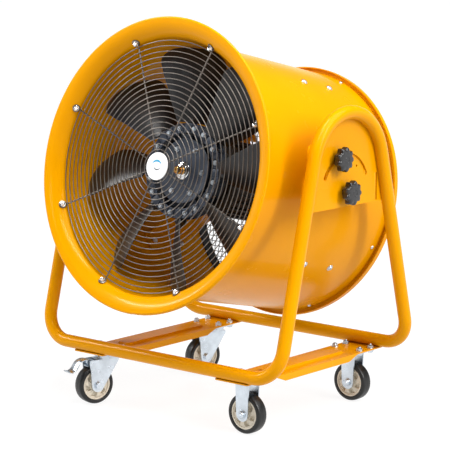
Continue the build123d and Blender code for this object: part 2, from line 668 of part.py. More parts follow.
for side_name, side in SIDES.items():
    with BuildPart() as trunnion_bracket:
        with BuildSketch(flank_plane(side * BRACKET_FACE)):
            with Locations(BRACKET_CENTRE):
                RectangleRounded(BRACKET_LENGTH, BRACKET_HEIGHT, BRACKET_CORNER)
        extrude(amount=side * (BRACKET_ROOT - BRACKET_FACE))
        with BuildSketch(flank_plane(side * (BRACKET_FACE - BRACKET_SHEET))):
            with Locations(BRACKET_CENTRE):
                RectangleRounded(
                    BRACKET_LENGTH - 2 * BRACKET_SHEET,
                    BRACKET_HEIGHT - 2 * BRACKET_SHEET,
                    BRACKET_CORNER - BRACKET_SHEET,
                )
        extrude(amount=side * (BRACKET_ROOT - BRACKET_FACE), mode=Mode.SUBTRACT)
        rod(drum_plane.offset(-DRUM_HALF_LENGTH), SHELL_RADIUS, 2 * DRUM_HALF_LENGTH, Mode.SUBTRACT)
        for stud_name, spot in stud_spots.items():
            hole = flank_plane(side * BRACKET_FACE, spot)
            rod(hole, STUD_RADIUS[stud_name] + HOLE_CLEARANCE, -side * 2 * BRACKET_SHEET, Mode.SUBTRACT)
    trunnion_bracket.part.label = f"trunnion_bracket_{side_name}"
    export_step(trunnion_bracket.part, f"parts/trunnion_bracket_{side_name}.step")

STUD_END_X = 391.0
STUD_HEAD_FLATS = 18.0
STUD_HEAD_HEIGHT = 7.0
stud_head_x = BRACKET_FACE - BRACKET_SHEET
with BuildPart() as trunnion_studs:
    for side in SIDES.values():
        for stud_name, spot in stud_spots.items():
            shank = flank_plane(side * stud_head_x, spot)
            rod(shank, STUD_RADIUS[stud_name], side * (STUD_END_X - stud_head_x))
            hexagon(shank, STUD_HEAD_FLATS, -side * STUD_HEAD_HEIGHT)
trunnion_studs.part.label = "trunnion_studs"
export_step(trunnion_studs.part, "parts/trunnion_studs.step")

KNOB_GAP = 0.4
KNOB_WASHER = 2.0
KNOB_NECK = 9.0
KNOB_HEAD = 18.0
KNOB_LOBES = 8
knob_seat = PLATE_FACE + PLATE_THICKNESS + KNOB_GAP
for side_name, side in SIDES.items():
    for stud_name, spot in stud_spots.items():
        bore = STUD_RADIUS[stud_name] + RUNNING_CLEARANCE
        with BuildPart() as knob:
            rod(flank_plane(side * knob_seat, spot), 14, side * KNOB_WASHER)
            rod(flank_plane(side * (knob_seat + KNOB_WASHER), spot), 16, side * KNOB_NECK)
            with BuildSketch(flank_plane(side * (knob_seat + KNOB_WASHER + KNOB_NECK), spot)):
                Circle(25)
                with PolarLocations(23.2, KNOB_LOBES):
                    Circle(7)
            extrude(amount=side * KNOB_HEAD)
            fillet(knob.faces().sort_by(Axis.X)[-1 if side > 0 else 0].edges(), 2.5)
            rod(flank_plane(side * knob_seat, spot), bore, side * (STUD_END_X - knob_seat + 1), Mode.SUBTRACT)
        knob.part.label = f"knob_{stud_name}_{side_name}"
        export_step(knob.part, f"parts/knob_{stud_name}_{side_name}.step")

# ---------------------------------------------------------------- motor
MOTOR_RADIUS = 95.0
FIN_DEPTH = 7.0
FIN_COUNT = 28
FIN_THICKNESS = 3.0
MOTOR_REAR = -130.0
MOTOR_FRONT = 30.0
STATOR_OUTER = 80.0
STATOR_INNER = 52.0
STACK_HALF = 50.0
WINDING_REACH = 18.0
motor_middle = (MOTOR_REAR + MOTOR_FRONT) / 2
casing_radius = MOTOR_RADIUS - FIN_DEPTH
with BuildPart() as motor_housing:
    with BuildSketch(drum_plane.offset(MOTOR_REAR)):
        Circle(casing_radius)
        with PolarLocations(casing_radius + FIN_DEPTH / 2 - 1, FIN_COUNT):
            Rectangle(FIN_DEPTH + 2, FIN_THICKNESS)
        Circle(STATOR_OUTER, mode=Mode.SUBTRACT)
    extrude(amount=MOTOR_FRONT - MOTOR_REAR)
motor_housing.part.label = "motor_housing"
export_step(motor_housing.part, "parts/motor_housing.step")

with BuildPart() as stator:
    with BuildSketch(drum_plane.offset(motor_middle - STACK_HALF)):
        Circle(STATOR_OUTER)
        Circle(STATOR_INNER, mode=Mode.SUBTRACT)
    extrude(amount=2 * STACK_HALF)
    for start in (motor_middle - STACK_HALF - WINDING_REACH, motor_middle + STACK_HALF):
        with BuildSketch(drum_plane.offset(start)):
            Circle(STATOR_OUTER - 5)
            Circle(STATOR_INNER + 5, mode=Mode.SUBTRACT)
        extrude(amount=WINDING_REACH)
stator.part.label = "stator"
export_step(stator.part, "parts/stator.step")

CAP_DEPTH = 30.0
CAP_FLANGE = 8.0
CAP_WALL = 5.0
BEARING_RADIUS = 24.0
BEARING_DEPTH = 18.0
shaft_bore = SHAFT_RADIUS + RUNNING_CLEARANCE
cap_ends = {"front": (MOTOR_FRONT, 1), "rear": (MOTOR_REAR, -1)}
for end_name, (station, direction) in cap_ends.items():
    with BuildPart() as motor_cap:
        with BuildSketch(section_plane(0)):
            with BuildLine():
                Polyline(
                    (shaft_bore, station + direction * (CAP_DEPTH - BEARING_DEPTH)),
                    (BEARING_RADIUS, station + direction * (CAP_DEPTH - BEARING_DEPTH)),
                    (casing_radius - 12, station + direction * CAP_WALL / 2),
                    (casing_radius - 12, station),
                    (casing_radius, station),
                    (casing_radius, station + direction * CAP_FLANGE),
                    (casing_radius - 20, station + direction * (CAP_DEPTH - 8)),
                    (BEARING_RADIUS + 4, station + direction * (CAP_DEPTH - 4)),
                    (BEARING_RADIUS, station + direction * CAP_DEPTH),
                    (shaft_bore, station + direction * CAP_DEPTH),
                    close=True,
                )
            make_face()
        revolve(axis=drum_axis)
    motor_cap.part.label = f"motor_cap_{end_name}"
    export_step(motor_cap.part, f"parts/motor_cap_{end_name}.step")

ROTOR_RADIUS = 51.0
SHAFT_REAR = -158.0
SHAFT_FRONT = 160.0
with BuildPart() as motor_rotor:
    rod(drum_plane.offset(SHAFT_REAR), SHAFT_RADIUS, SHAFT_FRONT - SHAFT_REAR)
    rod(drum_plane.offset(motor_middle - STACK_HALF), ROTOR_RADIUS, 2 * STACK_HALF)
motor_rotor.part.label = "motor_rotor"
export_step(motor_rotor.part, "parts/motor_rotor.step")

ARM_SHEET = 6.0
ARM_REAR = -162.0
ARM_FRONT = -20.0
ARM_LENGTH = ARM_FRONT - ARM_REAR
ARM_NECK = 30.0
ARM_OFFSET = 16.0              # arm web beside its bolts
FOOT_WIDTH = 50.0
FOOT_SHEET = 5.0
foot_radius = bore_radius - 0.1
arm_middle = (ARM_REAR + ARM_FRONT) / 2
neck_middle = (MOTOR_REAR + ARM_FRONT) / 2
foot_face = foot_radius - FOOT_SHEET - 1
with BuildPart() as motor_arms:
    for angle in ARM_ANGLES:
        with BuildSketch(wall_plane(angle, casing_radius, neck_middle)):
            with Locations((0, ARM_OFFSET)):
                Rectangle(ARM_FRONT - MOTOR_REAR, ARM_SHEET)
        extrude(amount=ARM_NECK)
        with BuildSketch(wall_plane(angle, casing_radius + ARM_NECK, arm_middle)):
            with Locations((0, ARM_OFFSET)):
                Rectangle(ARM_LENGTH, ARM_SHEET)
        extrude(amount=bore_radius - casing_radius - ARM_NECK)
        with BuildSketch(wall_plane(angle, foot_face, arm_middle)):
            Rectangle(ARM_LENGTH, FOOT_WIDTH)
        extrude(amount=FOOT_SHEET + 10)
    rod(drum_plane.offset(ARM_REAR), foot_radius, ARM_LENGTH, Mode.INTERSECT)
    rod(drum_plane.offset(ARM_REAR - 10), MOTOR_RADIUS + 0.1, ARM_LENGTH + 20, Mode.SUBTRACT)
    for angle in ARM_ANGLES:
        for station in ARM_BOLT_STATIONS:
            rod(wall_plane(angle, foot_face - 1, station), ARM_BOLT_SIZE + HOLE_CLEARANCE, 25, Mode.SUBTRACT)
motor_arms.part.label = "motor_arms"
export_step(motor_arms.part, "parts/motor_arms.step")

ARM_HEAD_RADIUS = 7.0
ARM_HEAD_HEIGHT = 3.5
ARM_NUT_HEIGHT = 6.5
with BuildPart() as motor_arm_bolts:
    for angle in ARM_ANGLES:
        for station in ARM_BOLT_STATIONS:
            nut_foot = foot_face - ARM_NUT_HEIGHT
            hexagon(wall_plane(angle, nut_foot, station), HEAD_FLATS, ARM_NUT_HEIGHT)
            rod(wall_plane(angle, nut_foot, station), ARM_BOLT_SIZE, SHELL_RADIUS + 1 - nut_foot)
            rod(wall_plane(angle, SHELL_RADIUS + 0.1, station), ARM_HEAD_RADIUS, ARM_HEAD_HEIGHT)
motor_arm_bolts.part.label = "motor_arm_bolts"
export_step(motor_arm_bolts.part, "parts/motor_arm_bolts.step")

# ---------------------------------------------------------------- terminal box and cable gland
BOX_ANGLE = 205.0
BOX_STATION = 150.0
BOX_LENGTH = 110.0
BOX_WIDTH = 90.0
BOX_HEIGHT = 44.0
BOX_WALL = 3.0
LID_THICKNESS = 4.0
GLAND_RADIUS = 10.0
GLAND_FLATS = 24.0
GLAND_BORE = 5.5
GLAND_LENGTH = 24.0
box_top = SHELL_RADIUS + BOX_HEIGHT
gland_rise = SHELL_RADIUS + 26
gland_seat = Plane(
    origin=pivot + outward(BOX_ANGLE) * gland_rise + forward * (BOX_STATION - BOX_LENGTH / 2),
    z_dir=forward * -1,
)
with BuildPart() as terminal_box:
    with BuildSketch(wall_plane(BOX_ANGLE, SHELL_RADIUS - 10, BOX_STATION)):
        RectangleRounded(BOX_LENGTH, BOX_WIDTH, 8)
        RectangleRounded(BOX_LENGTH - 2 * BOX_WALL, BOX_WIDTH - 2 * BOX_WALL, 5, mode=Mode.SUBTRACT)
    extrude(amount=BOX_HEIGHT + 10)
    rod(drum_plane, SHELL_RADIUS + 0.1, DRUM_HALF_LENGTH, Mode.SUBTRACT)
    with BuildSketch(wall_plane(BOX_ANGLE, box_top, BOX_STATION)):
        RectangleRounded(BOX_LENGTH + 4, BOX_WIDTH + 4, 10)
    extrude(amount=LID_THICKNESS)
    rod(gland_seat.offset(-2 * BOX_WALL), GLAND_RADIUS - 2, 4 * BOX_WALL, Mode.SUBTRACT)
terminal_box.part.label = "terminal_box"
export_step(terminal_box.part, "parts/terminal_box.step")

with BuildPart() as cable_gland:
    hexagon(gland_seat, GLAND_FLATS, 8)
    rod(gland_seat.offset(8), GLAND_RADIUS, GLAND_LENGTH - 8)
    rod(gland_seat.offset(-BOX_WALL - 4), GLAND_RADIUS - 2 - HOLE_CLEARANCE, BOX_WALL + 4)
    rod(gland_seat.offset(-20), GLAND_BORE, 60, Mode.SUBTRACT)
cable_gland.part.label = "cable_gland"
export_step(cable_gland.part, "parts/cable_gland.step")

# ---------------------------------------------------------------- impeller
BLADE_ROOT_RADIUS = 11.9
BLADE_ROOT_START = 88.0
BLADE_START = 117.5
RING_INNER = 92.0
RING_SHEET = 4.0
BOSS_RADIUS = 30.0
BOSS_REAR = 105.0
FACE_RADIUS = 78.0
FACE_SHEET = 6.0
FACE_REAR = SHAFT_FRONT - FACE_SHEET
CLAMP_ANGLE = 13.0
CLAMP_RADIUS = 103.5
CLAMP_BOLT = 3.0
CLAMP_FLATS = 10.0
FACE_BOLT_RADIUS = 58.0
FACE_BOLTS = 6
back_plate = HUB_STATION - 12 - RING_SHEET
front_ring = HUB_STATION + 12
blade_angles = [BLADE_PHASE + 360 / BLADE_COUNT * step for step in range(BLADE_COUNT)]
clamp_angles = [angle + offset for angle in blade_angles for offset in (-CLAMP_ANGLE, CLAMP_ANGLE)]
face_angles = [360 / FACE_BOLTS * step for step in range(FACE_BOLTS)]


def hub_plane(angle, radius, station):
    """Plane across the drum axis, at a place on the hub, facing forward."""
    return Plane(origin=pivot + outward(angle) * radius + forward * station, z_dir=forward)


with BuildPart() as impeller_hub:
    rod(drum_plane.offset(back_plate), HUB_RADIUS, RING_SHEET)
    rod(drum_plane.offset(BOSS_REAR), BOSS_RADIUS, SHAFT_FRONT - BOSS_REAR)
    rod(drum_plane.offset(FACE_REAR), FACE_RADIUS, FACE_SHEET)
    rod(drum_plane.offset(BOSS_REAR - 1), SHAFT_RADIUS + 0.02, 80, Mode.SUBTRACT)
    for angle in clamp_angles:
        rod(hub_plane(angle, CLAMP_RADIUS, back_plate - 1), CLAMP_BOLT + HOLE_CLEARANCE, 8, Mode.SUBTRACT)
impeller_hub.part.label = "impeller_hub"
export_step(impeller_hub.part, "parts/impeller_hub.step")

with BuildPart() as hub_clamp_ring:
    with BuildSketch(drum_plane.offset(front_ring)):
        Circle(HUB_RADIUS)
        Circle(RING_INNER, mode=Mode.SUBTRACT)
    extrude(amount=RING_SHEET)
    for angle in clamp_angles:
        rod(hub_plane(angle, CLAMP_RADIUS, front_ring - 1), CLAMP_BOLT + HOLE_CLEARANCE, 8, Mode.SUBTRACT)
hub_clamp_ring.part.label = "hub_clamp_ring"
export_step(hub_clamp_ring.part, "parts/hub_clamp_ring.step")

CLAMP_HEAD = 4.0
with BuildPart() as hub_bolts:
    for angle in clamp_angles:
        rod(hub_plane(angle, CLAMP_RADIUS, back_plate), CLAMP_BOLT, front_ring + RING_SHEET - back_plate)
        hexagon(hub_plane(angle, CLAMP_RADIUS, back_plate - CLAMP_HEAD), CLAMP_FLATS, CLAMP_HEAD)
        hexagon(hub_plane(angle, CLAMP_RADIUS, front_ring + RING_SHEET), CLAMP_FLATS, CLAMP_HEAD)
    for angle in face_angles:
        hexagon(hub_plane(angle, FACE_BOLT_RADIUS, SHAFT_FRONT), CLAMP_FLATS, CLAMP_HEAD)
hub_bolts.part.label = "hub_bolts"
export_step(hub_bolts.part, "parts/hub_bolts.step")

WASHER_RADIUS = 21.0
WASHER_SHEET = 5.0
SHAFT_BOLT_RADIUS = 8.0
SHAFT_BOLT_FLATS = 19.0
SHAFT_NUT_HEIGHT = 11.0
washer_front = SHAFT_FRONT + WASHER_SHEET
with BuildPart() as shaft_washer:
    rod(drum_plane.offset(SHAFT_FRONT), WASHER_RADIUS, WASHER_SHEET)
shaft_washer.part.label = "shaft_washer"
export_step(shaft_washer.part, "parts/shaft_washer.step")

with BuildPart() as shaft_bolt:
    hexagon(drum_plane.offset(washer_front), SHAFT_BOLT_FLATS, SHAFT_NUT_HEIGHT)
    rod(drum_plane.offset(washer_front + SHAFT_NUT_HEIGHT), SHAFT_BOLT_RADIUS, 12)
shaft_bolt.part.label = "shaft_bolt"
export_step(shaft_bolt.part, "parts/shaft_bolt.step")

# Each row: distance from the axis, chord, pitch in degrees above the plane of rotation.
BLADE_SECTIONS = (
    (BLADE_START, 72.0, 52.0),
    (170.0, 112.0, 46.0),
    (235.0, 150.0, 40.0),
    (TIP_RADIUS + 8, 172.0, 35.0),
)
BLADE_CAMBER = 0.09
BLADE_THICKNESS = 6.0


def blade_plane(angle, radius, pitch):
    """Plane of one blade section: local x runs from the trailing to the leading edge."""
    sideways = forward.cross(outward(angle))
    chord_line = sideways * cos(radians(pitch)) + forward * sin(radians(pitch))
    origin = pivot + outward(angle) * radius + forward * HUB_STATION
    return Plane(origin=origin, x_dir=chord_line, z_dir=outward(angle))


for number, angle in enumerate(blade_angles, start=1):
    with BuildPart() as blade:
        for radius, chord, pitch in BLADE_SECTIONS:
            crown = BLADE_CAMBER * chord
            with BuildSketch(blade_plane(angle, radius, pitch)):
                with BuildLine():
                    ThreePointArc((-chord / 2, 0), (0, crown + BLADE_THICKNESS / 2), (chord / 2, 0))
                    ThreePointArc((chord / 2, 0), (0, crown - BLADE_THICKNESS / 2), (-chord / 2, 0))
                make_face()
        loft()
        rod(drum_plane.offset(HUB_STATION - 100), TIP_RADIUS, 200, Mode.INTERSECT)
        root = Plane(
            origin=pivot + outward(angle) * BLADE_ROOT_START + forward * HUB_STATION, z_dir=outward(angle)
        )
        rod(root, BLADE_ROOT_RADIUS, BLADE_START + 6 - BLADE_ROOT_START)
    blade.part.label = f"blade_{number}"
    export_step(blade.part, f"parts/blade_{number}.step")
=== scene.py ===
import json
from math import cos, hypot, pi, radians, sin, sqrt

import bmesh
import bpy
from mathutils import Matrix, Vector


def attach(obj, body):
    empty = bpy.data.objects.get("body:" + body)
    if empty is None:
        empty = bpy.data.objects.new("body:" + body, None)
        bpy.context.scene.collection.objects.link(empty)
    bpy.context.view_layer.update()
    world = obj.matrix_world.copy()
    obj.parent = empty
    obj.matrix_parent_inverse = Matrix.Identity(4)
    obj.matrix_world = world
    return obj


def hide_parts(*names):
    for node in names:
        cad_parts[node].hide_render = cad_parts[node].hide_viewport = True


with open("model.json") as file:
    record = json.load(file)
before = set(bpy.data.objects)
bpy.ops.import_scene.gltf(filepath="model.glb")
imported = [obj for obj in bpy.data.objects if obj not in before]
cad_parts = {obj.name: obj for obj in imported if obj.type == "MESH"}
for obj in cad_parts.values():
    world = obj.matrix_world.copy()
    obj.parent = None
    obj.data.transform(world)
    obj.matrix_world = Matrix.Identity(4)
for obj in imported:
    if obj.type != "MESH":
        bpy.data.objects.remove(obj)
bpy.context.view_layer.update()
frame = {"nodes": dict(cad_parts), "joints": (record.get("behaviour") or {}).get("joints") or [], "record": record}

MM = 0.001
CORNER_RATIO = 1.1547       # width of a hexagon across its corners over that across its flats

# ---------------------------------------------------------------- camera
camera = bpy.data.objects.new("camera", bpy.data.cameras.new("camera"))
bpy.context.scene.collection.objects.link(camera)
camera.data.sensor_width = 36
camera.data.lens = 148.24
camera.data.clip_end = 200
eye = Vector((2.927, -3.427, 1.168))
aim = Vector((0.0215, -0.0278, 0.447))
camera.location = eye
camera.rotation_euler = (aim - eye).to_track_quat("-Z", "Y").to_euler()
bpy.context.scene.camera = camera

# ---------------------------------------------------------------- directions and joints
joints = {joint["name"]: joint for joint in frame["joints"]}
pivot = Vector(joints["impeller_spin"]["pos_m"])
forward = Vector(joints["impeller_spin"]["axis"]).normalized()
across = Vector((1, 0, 0))
upward = forward.cross(across)


def outward(angle):
    return across * cos(radians(angle)) + upward * sin(radians(angle))


def place(origin, z_axis, x_axis=None):
    """Matrix of a local frame in millimetres that stands at `origin`, which is in metres."""
    z = Vector(z_axis).normalized()
    x = Vector(x_axis) if x_axis is not None else z.orthogonal()
    x = (x - z * x.dot(z)).normalized()
    turn = Matrix((x, z.cross(x), z)).transposed().to_4x4()
    return Matrix.Translation(Vector(origin)) @ turn @ Matrix.Scale(MM, 4)


def on_axis(station):
    """Frame across the drum axis, facing forward; local x is +X and local y is up."""
    return place(pivot + forward * station * MM, forward, across)


def at_drum(angle, radius, station):
    return pivot + (outward(angle) * radius + forward * station) * MM


# ---------------------------------------------------------------- mesh tools
class Shape:
    """Collects the vertices and faces of one piece, in metres in the CAD frame."""

    def __init__(self):
        self.verts = []
        self.faces = []

    def add(self, verts, faces, where):
        start = len(self.verts)
        self.verts += [where @ Vector(v) for v in verts]
        self.faces += [[start + i for i in face] for face in faces]

    def loft(self, rings, where, loop=False, caps=True):
        """Skin over rings of equally many points, with flat ends unless the rings join up in a loop."""
        count = len(rings[0])
        faces = []
        for i in range(len(rings) if loop else len(rings) - 1):
            a = i * count
            b = (i + 1) % len(rings) * count
            for j in range(count):
                k = (j + 1) % count
                faces.append((a + j, a + k, b + k, b + j))
        if caps and not loop:
            faces.append(range(count))
            faces.append(range((len(rings) - 1) * count, len(rings) * count))
        self.add([p for ring in rings for p in ring], faces, where)

    def lathe(self, outline, where, segments=48):
        """Closed outline of (radius, height) points turned about the local z axis."""
        rings = []
        for step in range(segments):
            a = 2 * pi * step / segments
            rings.append([(r * cos(a), r * sin(a), h) for r, h in outline])
        self.loft(rings, where, loop=True)

    def tube(self, path, radius, sides=10, loop=False):
        """Round bar along points in metres; radius in millimetres."""
        rings = []
        count = len(path)
        side = None
        for i, point in enumerate(path):
            before = path[i - 1] if (i or loop) else point
            after = path[(i + 1) % count] if (i < count - 1 or loop) else point
            along = (after - before).normalized()
            if side is None:
                side = along.orthogonal()
            side = (side - along * side.dot(along)).normalized()
            other = along.cross(side)
            r = radius * MM
            rings.append([
                point + (side * cos(2 * pi * k / sides) + other * sin(2 * pi * k / sides)) * r
                for k in range(sides)
            ])
        self.loft(rings, Matrix(), loop=loop)

    def hexagon(self, where, flats, height, base=0.0):
        """Hexagonal nut or head with the corners turned off at its top."""
        rings = []
        top = base + height
        for h, corner in ((base, CORNER_RATIO), (base + height * 0.82, CORNER_RATIO), (top, 1.0),
                          (top, 0.8)):
            ring = []
            for k in range(12):
                r = flats / 2 * (corner if k % 2 == 0 else min(corner, 1.0))
                ring.append((r * cos(pi * k / 6), r * sin(pi * k / 6), h))
            rings.append(ring)
        self.loft(rings, where)

    def rod(self, where, radius, base, top, edge=0.4, sides=24):
        """Round bar with broken edges between two heights."""
        self.lathe(
            [(0, base), (radius - edge, base), (radius, base + edge), (radius, top - edge),
             (radius - edge, top), (0, top)], where, sides)

    def thread(self, where, radius, base, top, pitch=1.25, sides=20):
        """Threaded end: a row of ridges with a chamfered tip."""
        outline = [(0, base), (radius - 0.5, base)]
        turns = max(1, int((top - base - 0.6) / pitch))
        for turn in range(turns):
            h = base + (turn + 0.5) * (top - base - 0.6) / turns
            outline += [(radius, h), (radius - 0.7, h + pitch / 2)]
        outline += [(radius - 1.0, top), (0, top)]
        self.lathe(outline, where, sides)

    def finish(self, name, body, slot, material, nodes=(), angle=38):
        """Make the object, shade it, ride it on its body and hide the CAD parts that it stands for."""
        mesh = bpy.data.meshes.new(name)
        work = bmesh.new()
        made = [work.verts.new(v) for v in self.verts]
        for face in self.faces:
            corners = [made[i] for i in face]
            try:
                work.faces.new(corners)
            except ValueError:
                continue
        bmesh.ops.remove_doubles(work, verts=work.verts, dist=2e-6)
        bmesh.ops.dissolve_degenerate(work, edges=work.edges, dist=1e-6)
        bmesh.ops.recalc_face_normals(work, faces=work.faces)
        work.to_mesh(mesh)
        work.free()
        mesh.polygons.foreach_set("use_smooth", [True] * len(mesh.polygons))
        mesh.set_sharp_from_angle(angle=radians(angle))
        mesh.materials.append(material)
        piece = bpy.data.objects.new(name, mesh)
        bpy.context.scene.collection.objects.link(piece)
        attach(piece, body)
        if nodes:
            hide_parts(*nodes)
        return piece


# ---------------------------------------------------------------- materials
def surface(name, color, rough, metal=0.0, coat=0.0, vary=0.08, patch=9.0, grain=400.0, bump=0.05,
            spread=0.06, stretch=(1, 1, 1), dust=None, specular=0.5, glint=(1, 1, 1)):
    """Principled surface with uneven colour and gloss, a fine grain, and fine specks of dust when a dust colour is
    given.
    """
    made = bpy.data.materials.new(name)
    made.use_nodes = True
    nodes = made.node_tree.nodes
    link = made.node_tree.links.new
    shader = nodes["Principled BSDF"]
    shader.inputs["Metallic"].default_value = metal
    shader.inputs["Specular IOR Level"].default_value = specular
    shader.inputs["Specular Tint"].default_value = (*glint, 1)
    shader.inputs["Coat Weight"].default_value = coat
    shader.inputs["Coat Roughness"].default_value = 0.06
    where = nodes.new("ShaderNodeTexCoord")
    scale = nodes.new("ShaderNodeMapping")
    scale.inputs["Scale"].default_value = stretch
    link(where.outputs["Object"], scale.inputs["Vector"])

    def noise(size, detail):
        node = nodes.new("ShaderNodeTexNoise")
        node.inputs["Scale"].default_value = size
        node.inputs["Detail"].default_value = detail
        link(scale.outputs["Vector"], node.inputs["Vector"])
        return node

    def ramp(source, low, high, start=0.35, end=0.65):
        node = nodes.new("ShaderNodeValToRGB")
        node.color_ramp.elements[0].position = start
        node.color_ramp.elements[1].position = end
        node.color_ramp.elements[0].color = (*low, 1)
        node.color_ramp.elements[1].color = (*high, 1)
        link(source, node.inputs["Fac"])
        return node

    broad = noise(patch, 4)
    fine = noise(grain, 2)
    dark = [c * (1 - vary) for c in color]
    light = [min(1, c * (1 + vary)) for c in color]
    tone = ramp(broad.outputs["Fac"], dark, light)
    if dust:
        specks = noise(grain * 0.3, 6)
        amount = ramp(specks.outputs["Fac"], (0, 0, 0), (0.5, 0.5, 0.5), 0.5, 0.75)
        mix = nodes.new("ShaderNodeMix")
        mix.data_type = "RGBA"
        link(amount.outputs["Color"], mix.inputs["Factor"])
        link(tone.outputs["Color"], mix.inputs["A"])
        mix.inputs["B"].default_value = (*dust, 1)
        link(mix.outputs["Result"], shader.inputs["Base Color"])
    else:
        link(tone.outputs["Color"], shader.inputs["Base Color"])
    gloss = nodes.new("ShaderNodeMapRange")
    gloss.inputs["To Min"].default_value = max(0.02, rough - spread)
    gloss.inputs["To Max"].default_value = rough + spread
    link(noise(patch * 3, 5).outputs["Fac"], gloss.inputs["Value"])
    link(gloss.outputs["Result"], shader.inputs["Roughness"])
    relief = nodes.new("ShaderNodeBump")
    relief.inputs["Strength"].default_value = bump
    relief.inputs["Distance"].default_value = 0.0004
    link(fine.outputs["Fac"], relief.inputs["Height"])
    link(relief.outputs["Normal"], shader.inputs["Normal"])
    return made


PAINT = surface("yellow_orange_powder_coat", (0.66, 0.27, 0.0), 0.26, coat=0.08, vary=0.035, patch=5,
                grain=420,
                bump=0.05, spread=0.05, specular=0.12, glint=(1.0, 0.60, 0.10))
ZINC = surface("zinc_plated_steel", (0.60, 0.66, 0.72), 0.30, metal=1, vary=0.14, patch=28, grain=700,
               bump=0.12,
               spread=0.10)
CHROME = surface("bright_plated_steel", (0.80, 0.80, 0.80), 0.12, metal=1, vary=0.06, patch=40,
                 grain=600, bump=0.03,
                 spread=0.05)
WIRE = surface("drawn_plated_wire", (0.17, 0.155, 0.14), 0.34, metal=1, vary=0.12, patch=60, grain=500,
               bump=0.08,
               spread=0.07)
BLACK_WIRE = surface("black_coated_wire", (0.012, 0.012, 0.012), 0.42, vary=0.2, patch=30, grain=500,
                     bump=0.2)
BLADE = surface("black_moulded_blade", (0.010, 0.010, 0.011), 0.36, vary=0.25, patch=12, grain=520,
                bump=0.16,
                spread=0.08, dust=(0.03, 0.03, 0.032))
KNOB = surface("grained_black_plastic", (0.009, 0.009, 0.010), 0.27, vary=0.2, patch=60, grain=900,
               bump=0.16,
               spread=0.05, coat=0.3)
HUB = surface("blue_grey_casting", (0.030, 0.040, 0.060), 0.42, metal=0.25, vary=0.25, patch=22,
              grain=380, bump=0.4,
              spread=0.10)
MOTOR = surface("painted_motor_casting", (0.035, 0.037, 0.040), 0.48, vary=0.2, patch=18, grain=300,
                bump=0.5)
STATOR = surface("varnished_laminations", (0.20, 0.12, 0.07), 0.45, metal=0.6, vary=0.3, patch=80,
                 grain=900,
                 bump=0.5, stretch=(1, 12, 1))
STEEL = surface("ground_steel", (0.50, 0.50, 0.51), 0.28, metal=1, vary=0.1, patch=60, grain=900,
                bump=0.15,
                stretch=(1, 8, 1))
BRASS = surface("machined_brass", (0.72, 0.42, 0.13), 0.22, metal=1, vary=0.12, patch=90, grain=900,
                bump=0.1)
RUBBER = surface("satin_black_tyre", (0.006, 0.006, 0.006), 0.36, vary=0.3, patch=40, grain=800,
                 bump=0.25,
                 spread=0.10, dust=(0.014, 0.013, 0.012), specular=0.4)
CREAM = surface("cream_moulded_core", (0.66, 0.60, 0.49), 0.45, vary=0.07, patch=30, grain=600, bump=0.2,
                spread=0.08)
BADGE = surface("white_gloss_badge", (0.86, 0.87, 0.88), 0.16, coat=0.4, vary=0.02, patch=50, grain=500,
                bump=0.03)
BADGE_BLUE = surface("badge_blue_print", (0.03, 0.33, 0.55), 0.25, coat=0.4, vary=0.08, patch=90,
                     grain=700)
BADGE_GREY = surface("badge_grey_print", (0.10, 0.11, 0.13), 0.30, coat=0.4, vary=0.1, patch=90,
                     grain=700)
BOX = surface("matte_box_plastic", (0.030, 0.031, 0.034), 0.55, vary=0.15, patch=30, grain=700, bump=0.4)

SLOT_MATERIALS = {
    "drum_paint": PAINT, "arm_paint": PAINT, "zinc_steel": ZINC, "wheel_core": CREAM,
                  "wheel_tyre": RUBBER,
    "guard_wire": WIRE, "bright_plate": CHROME, "badge_white": BADGE, "black_wire": BLACK_WIRE,
    "knob_black": KNOB, "motor_casing": MOTOR, "stator_core": STATOR, "shaft_steel": STEEL,
    "box_plastic": BOX, "hub_metal": HUB, "brass_bolt": BRASS, "blade_black": BLADE,
}
for entry in frame["record"]["subparts"]:
    node = frame["nodes"][entry["node"]]
    node.data.materials.clear()
    node.data.materials.append(SLOT_MATERIALS[entry["material_slot"]])

# ---------------------------------------------------------------- rear guard: woven wire in a band
BAND_OUTER = 303.2
MESH_PITCH = 13.0
MESH_STATION = -274.5
MESH_LIFT = 1.0             # how far each wire weaves off the middle plane
MESH_WIRE = 1.05
guard = Shape()
guard.lathe([(BAND_OUTER, -277), (BAND_OUTER, -243.6), (BAND_OUTER - 1.2, -243),
             (BAND_OUTER - 2.5, -243.6),
             (BAND_OUTER - 2.5, -273.5), (BAND_OUTER - 4.5, -275), (BAND_OUTER - 3, -277)], on_axis(0),
            160)
half_count = int(BAND_OUTER // MESH_PITCH)
for line in range(-half_count, half_count + 1):
    offset = line * MESH_PITCH
    reach = sqrt(max(0, (BAND_OUTER - 2) ** 2 - offset ** 2))
    stops = [-reach] + [k * MESH_PITCH / 2 for k in range(-2 * half_count - 1, 2 * half_count + 2)
                        if abs(k * MESH_PITCH / 2) < reach - 1] + [reach]
    for direction in (0, 1):
        sign = 1 if (line + direction) % 2 == 0 else -1
        path = []
        for stop in stops:
            lift = sign * MESH_LIFT * cos(pi * stop / MESH_PITCH)
            spot = (stop, offset, MESH_STATION + lift) if direction == 0 else (offset, stop,
                                                                               MESH_STATION + lift)
            path.append(on_axis(0) @ Vector(spot))
        guard.tube(path, MESH_WIRE, sides=6)
guard.finish("rear_guard_mesh", "drum", "black_wire", BLACK_WIRE, ["rear_guard"])

